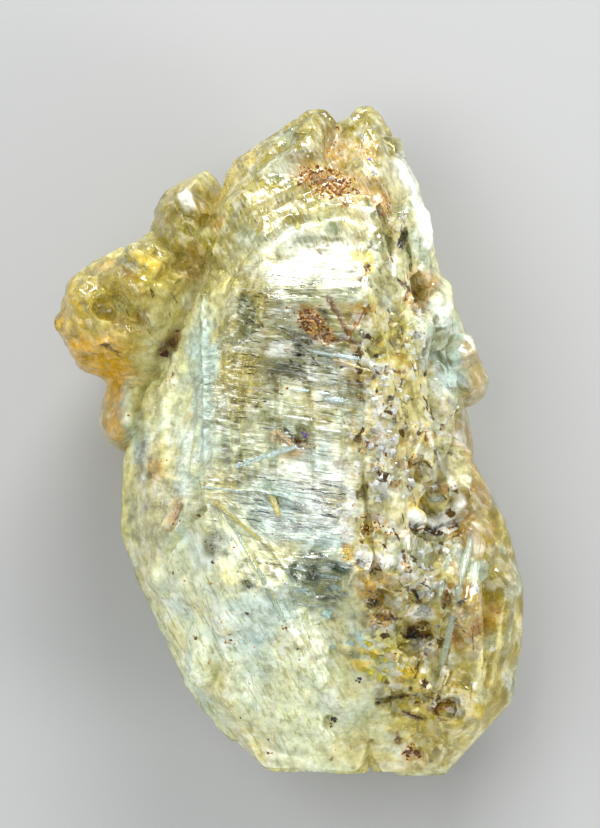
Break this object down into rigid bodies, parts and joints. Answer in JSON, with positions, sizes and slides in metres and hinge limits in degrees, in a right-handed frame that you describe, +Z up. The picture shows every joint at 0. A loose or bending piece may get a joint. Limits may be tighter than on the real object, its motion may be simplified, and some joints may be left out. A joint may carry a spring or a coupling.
{
  "type": "skeletal quartz crystal",
  "caption": "Doubly terminated skeletal quartz crystal lying on a prism face, with stepped hollowed faces and small crystals grown on its flanks.",
  "frame": {"origin": "middle of the crystal's outline seen from above, on the surface that it rests on", "axes": "+Z up from the resting face, +Y along the crystal's length towards its narrow end, +X towards the second individual"},
  "size_m": [0.0168, 0.0242, 0.0107],
  "materials": {
    "quartz": "clear to milky, straw-tinted and iron-stained, glassy faces with fine growth lines"
  },
  "bodies": {
    "root": {"quartz_crystal": "quartz"}
  },
  "joints": []
}
